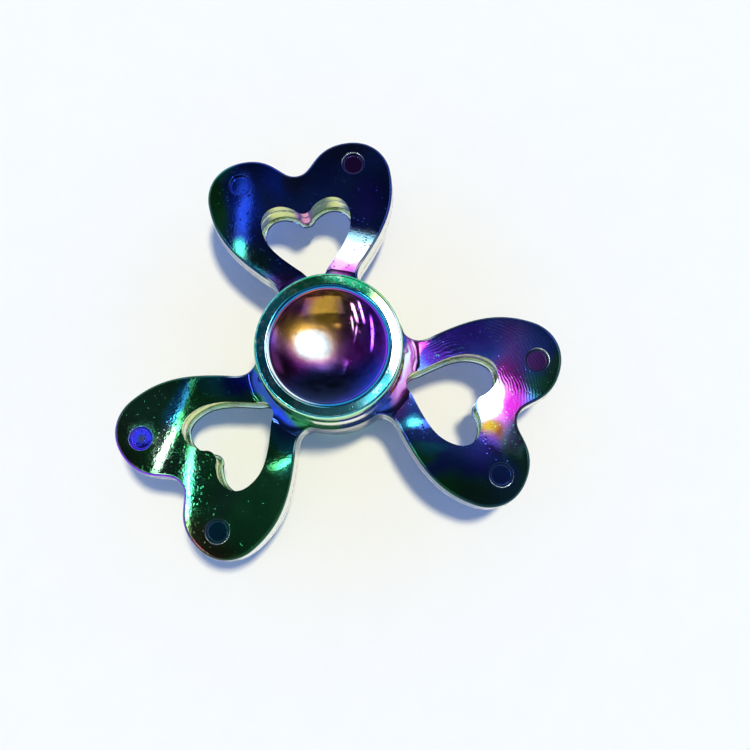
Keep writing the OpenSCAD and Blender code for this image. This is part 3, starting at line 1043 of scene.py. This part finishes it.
def rainbow_cap():
    """The same coat on the turned caps: green to blue on the rim, gold to violet in the dish, with painted
    highlights on the rim, the lip, the bevel and in the dish.
    """
    nodes = Nodes("rainbow_cap")
    drift = nodes.wandering(230, 1.6 * MM)
    r = nodes.radius()
    rim = nodes.patches((0.02, 0.34, 0.20), CAP_RIM, drift)
    mottle = nodes.ramp(nodes.noise(1300, 3, 0.7), 0.50, 0.66, 0.0, 0.75)
    rim = nodes.mix(mottle, rim, nodes.mix(0.55, rim, PEARL))
    dish = nodes.patches(INDIGO, DISH, drift)
    cloud = nodes.ramp(nodes.noise(420, 4, 0.65), 0.35, 0.7, 0.0, 0.5)
    dish = nodes.mix(cloud, dish, nodes.mix(1.0, dish, (0.5, 0.5, 0.55), "MULTIPLY"))
    dish_edge = (CAP_R - RIM_W) * MM
    # painted highlight: pearl on the left of the lip, where its inner slope shows a white crescent
    lip = nodes.mix(nodes.oval((-8.0, -2.5), (4.5, 6.0), 20, 0.5), (0.02, 0.24, 0.50), PEARL)
    margin = nodes.ramp(r, dish_edge - 0.3 * MM, dish_edge)
    margin = nodes.math("MULTIPLY", margin, nodes.oval((6.0, 1.5), (5.0, 7.0), 0, 0.5))
    colour = nodes.mix(margin, dish, VIOLET)
    colour = nodes.mix(nodes.ramp(r, dish_edge - 0.02 * MM, dish_edge + 0.12 * MM), colour, lip)
    colour = nodes.mix(nodes.ramp(r, dish_edge + 0.42 * MM, dish_edge + 0.62 * MM), colour, rim)
    # lime on the outer bevel, where its highlight line runs: partly painted highlight
    bevel = nodes.math("MULTIPLY", nodes.ramp(r, (CAP_R - 0.24) * MM, (CAP_R - 0.10) * MM), 0.8)
    bevel_tint = nodes.mix(nodes.oval((-3.0, -6.0), (9.0, 7.0), 0, 0.4), (0.10, 0.42, 0.10), LIME)
    colour = nodes.mix(bevel, colour, bevel_tint)
    _, _, height = nodes.split(nodes.place)
    side = nodes.ramp(nodes.math("ABSOLUTE", height), (TOP_Z - 0.35) * MM, (TOP_Z - 0.7) * MM)
    side = nodes.math("MULTIPLY", side, nodes.ramp(r, (CAP_R - 0.1) * MM, (CAP_R - 0.04) * MM))
    colour = nodes.mix(side, colour, FOREST)
    inside_cap = nodes.ramp(nodes.math("ABSOLUTE", height), (TOP_Z - 2.6) * MM, (TOP_Z - 2.9) * MM)
    colour = nodes.mix(inside_cap, colour, (0.30, 0.33, 0.40))
    rough = nodes.ramp(nodes.noise(900, 3), 0.3, 0.7, 0.025, 0.05)
    satin = nodes.oval((-2.6, 0.6), (4.6, 3.8), -25, 0.5)
    rough = nodes.math("ADD", rough, nodes.math("MULTIPLY", satin, 0.18))
    peel = nodes.ramp(r, dish_edge - 0.2 * MM, dish_edge + 0.5 * MM, 0.55, 1.0)
    peel = nodes.math("ADD", peel, nodes.math("MULTIPLY", satin, 3.0))
    turning = nodes.math("SINE", nodes.math("MULTIPLY", r, 2 * math.pi / (0.16 * MM)))
    turning = nodes.math("MULTIPLY", turning, nodes.ramp(nodes.noise(300, 2), 0.4, 0.7, 0.0, 0.35))
    return finish_metal(nodes, colour, rough, coat_surface(nodes, peel, turning))


def steel(name, colour, roughness):
    """Bearing steel with fine turning marks round the spin axis."""
    nodes = Nodes(name)
    r = nodes.radius()
    marks = nodes.math("SINE", nodes.math("MULTIPLY", r, 2 * math.pi / (0.07 * MM)))
    tint = nodes.noise(900, 3)
    tone = nodes.mix(nodes.ramp(tint, 0.3, 0.7), colour, tuple(0.72 * c for c in colour))
    rough = nodes.ramp(nodes.noise(2500, 2), 0.3, 0.7, roughness * 0.8, roughness * 1.4)
    return finish_metal(nodes, tone, rough, nodes.bump(marks, 2e-6, 0.6))


# ---------------------------------------------------------------- build the object

body = spinner_body()
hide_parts("spinner_body")
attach(body, "rotor")
for number in range(len(ARM_ANGLES)):
    body.data.materials.append(rainbow_body(number))
centres = np.empty(3 * len(body.data.polygons))
body.data.polygons.foreach_get("center", centres)
turns = np.degrees(np.arctan2(centres[1::3], centres[0::3]))
gaps = [np.abs((turns - angle + 180) % 360 - 180) for angle in ARM_ANGLES]
body.data.polygons.foreach_set("material_index", np.argmin(gaps, axis=0).astype(np.int32))

cap_coat = rainbow_cap()
top_cap = lathe("top_finger_cap_turned", lifted(cap_profile(socket_end), TOP_Z, flip=False))
bottom_cap = lathe("bottom_finger_cap_turned", lifted(cap_profile(stud_end), -TOP_Z, flip=True))
for cap, node in ((top_cap, "top_finger_cap"), (bottom_cap, "bottom_finger_cap")):
    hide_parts(node)
    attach(cap, "finger_caps")
    cap.data.materials.append(cap_coat)

STEELS = {
    "ground_steel": steel("ground_steel", (0.60, 0.60, 0.62), 0.22),
    "cage_steel": steel("cage_steel", (0.48, 0.48, 0.50), 0.35),
    "ball_steel": steel("ball_steel", (0.72, 0.72, 0.74), 0.08),
    "shield_steel": steel("shield_steel", (0.55, 0.57, 0.60), 0.3),
    "spring_steel": steel("spring_steel", (0.26, 0.26, 0.28), 0.3),
}
for part in frame["record"]["subparts"]:
    if part["material_slot"] in STEELS:
        node = frame["nodes"][part["node"]]
        node.data.materials.clear()
        node.data.materials.append(STEELS[part["material_slot"]])

# ---------------------------------------------------------------- floor, lights and camera


def stage_floor():
    size = 1.2
    data = bpy.data.meshes.new("floor")
    corners = [(-size, -size), (size, -size), (size, size), (-size, size)]
    data.from_pydata([(x, y, -(TOP_Z + 0.02) * MM) for x, y in corners], [], [(0, 1, 2, 3)])
    floor = bpy.data.objects.new("floor", data)
    bpy.context.scene.collection.objects.link(floor)
    nodes = Nodes("pale_floor")
    grain = nodes.noise(180, 3)
    nodes.plug(nodes.mix(grain, (0.90, 0.905, 0.91), (0.93, 0.93, 0.93)), nodes.shader.inputs["Base Color"])
    nodes.shader.inputs["Roughness"].default_value = 0.75
    nodes.shader.inputs["Specular IOR Level"].default_value = 0.2
    data.materials.append(nodes.material)


def key_light(come_from, strength, width, colour):
    """Distant even lamp that comes from a direction; mirrored rays don't see it."""
    data = bpy.data.lights.new("key", "SUN")
    data.energy = strength
    data.angle = math.radians(width)
    data.color = colour
    light = bpy.data.objects.new("key", data)
    light.rotation_euler = (-Vector(come_from)).to_track_quat("-Z", "Y").to_euler()
    light.location = Vector(come_from) * MM
    light.visible_glossy = False
    bpy.context.scene.collection.objects.link(light)


# Bright shapes overhead, such as windows and tubes: brightness, then centre, half size and turn in
# directions from the zenith (run over rise), softness of their edges
OVERHEAD = (
    (8.0, (0.125, 0.145), (0.075, 0.034), -40, 0.3),     # window
    (8.0, (0.052, 0.235), (0.050, 0.024), 116, 0.3),
    (0.7, (0.115, 0.180), (0.085, 0.075), -30, 0.5),
    (0.45, (-0.040, -0.155), (0.180, 0.125), -11, 0.12), # pale panel
    (2.0, (0.028, 0.340), (0.038, 0.030), -25, 0.3),
    (1.2, (0.022, 0.165), (0.022, 0.016), 45, 0.5),
    (30.0, (-0.243, 0.156), (0.033, 0.0024), 59, 0.6),   # tubes
    (2.2, (-0.209, 0.213), (0.034, 0.0024), 59, 0.6),
    (28.0, (-0.2276, 0.0930), (0.052, 0.0030), 75, 0.6),
    (1.0, (-0.272, 0.175), (0.0115, 0.0115), 0, 0.15),   # lamp
    (5.0, (0.060, 0.121), (0.011, 0.004), -20, 0.5),
    (2.0, (0.640, 0.210), (0.150, 0.250), 0, 0.3),
    (1.1, (-0.105, 0.425), (0.040, 0.0065), 77, 0.7),
    (4.0, (-0.116, 0.378), (0.014, 0.0070), 77, 0.7),
    (1.6, (-0.098, 0.342), (0.022, 0.0060), -35, 0.6),
    (7.0, (-0.107, 0.106), (0.014, 0.0036), 11, 0.5),
    (18.0, (-0.305, -0.020), (0.100, 0.014), 79, 0.3),
    (18.0, (-0.400, -0.030), (0.120, 0.012), 75, 0.3),
    (14.0, (-0.455, 0.200), (0.140, 0.016), 70, 0.5),
)
CEILING = (0.085, 0.09, 0.105)
HORIZON = (1.05, 1.15, 1.30)
FLOOR_FILL = (0.46, 0.72, 1.48)
BACKDROP = (0.86, 0.90, 0.95)


def sky():
    """Surroundings, which differ by kind of ray.

    Mirrored rays see a dark ceiling with bright shapes in it and pale walls round it. Other rays that light
    the scene see a bluish fill, and the camera sees a plain pale backdrop.
    """
    world = bpy.data.worlds.new("room")
    bpy.context.scene.world = world
    world.use_nodes = True
    nodes = Nodes.__new__(Nodes)
    nodes.tree = world.node_tree
    nodes.place = nodes.add("ShaderNodeTexCoord").outputs["Generated"]
    x, y, z = nodes.split(nodes.place)
    rise = nodes.math("MAXIMUM", z, 0.02)
    spread = nodes.add("ShaderNodeCombineXYZ")
    nodes.plug(nodes.math("DIVIDE", x, rise), spread.inputs[0])
    nodes.plug(nodes.math("DIVIDE", y, rise), spread.inputs[1])
    overhead = spread.outputs[0]
    cloud = nodes.ramp(nodes.noise(9, 1, place=overhead), 0.3, 0.7, 0.55, 1.5)
    ceiling = nodes.mix(1.0, CEILING, cloud, "MULTIPLY")
    colour = nodes.mix(nodes.ramp(z, 0.885, 0.50), ceiling, HORIZON)
    total = None
    for brightness, centre, size, turn, soft in OVERHEAD:
        u, v, _ = nodes.split(nodes.moved(overhead, (*centre, 0), turn, (*size, 1)))
        glow = None
        for side in (u, v):
            part = nodes.ramp(nodes.math("ABSOLUTE", side), 1 + soft, 1 - soft)
            glow = part if glow is None else nodes.math("MULTIPLY", glow, part)
        glow = nodes.math("MULTIPLY", glow, brightness)
        total = glow if total is None else nodes.math("ADD", total, glow)
    total = nodes.math("MULTIPLY", total, nodes.math("GREATER_THAN", z, 0.3))
    lit = nodes.mix(1.0, colour, total, "ADD")
    fill = nodes.mix(nodes.ramp(z, 0.84, 0.42), CEILING, FLOOR_FILL)
    path = nodes.add("ShaderNodeLightPath").outputs
    seen = nodes.mix(path["Is Glossy Ray"], fill, lit)
    seen = nodes.mix(path["Is Camera Ray"], seen, BACKDROP)
    nodes.plug(seen, nodes.tree.nodes["Background"].inputs["Color"])


CAMERA_AT = (3.07, -25.87, 117.24)
CAMERA_AIM = (5.43, -4.11, ARM_Z)
CAMERA_ROLL = -5.06
CAMERA_LENS = 40.1


def add_camera():
    data = bpy.data.cameras.new("camera")
    data.lens = CAMERA_LENS
    data.sensor_width = 36
    data.clip_start = 0.005
    camera = bpy.data.objects.new("camera", data)
    at, aim = Vector(CAMERA_AT) * MM, Vector(CAMERA_AIM) * MM
    facing = (aim - at).to_track_quat("-Z", "Y").to_matrix().to_4x4()
    roll = Matrix.Rotation(math.radians(CAMERA_ROLL), 4, "Z")
    camera.matrix_world = Matrix.Translation(at) @ facing @ roll
    bpy.context.scene.collection.objects.link(camera)
    bpy.context.scene.camera = camera


stage_floor()
sky()
key_light((62, 36, 300), 2.56, 6.6, (1.0, 0.915, 0.60))
add_camera()
bpy.context.scene.view_settings.view_transform = "Standard"
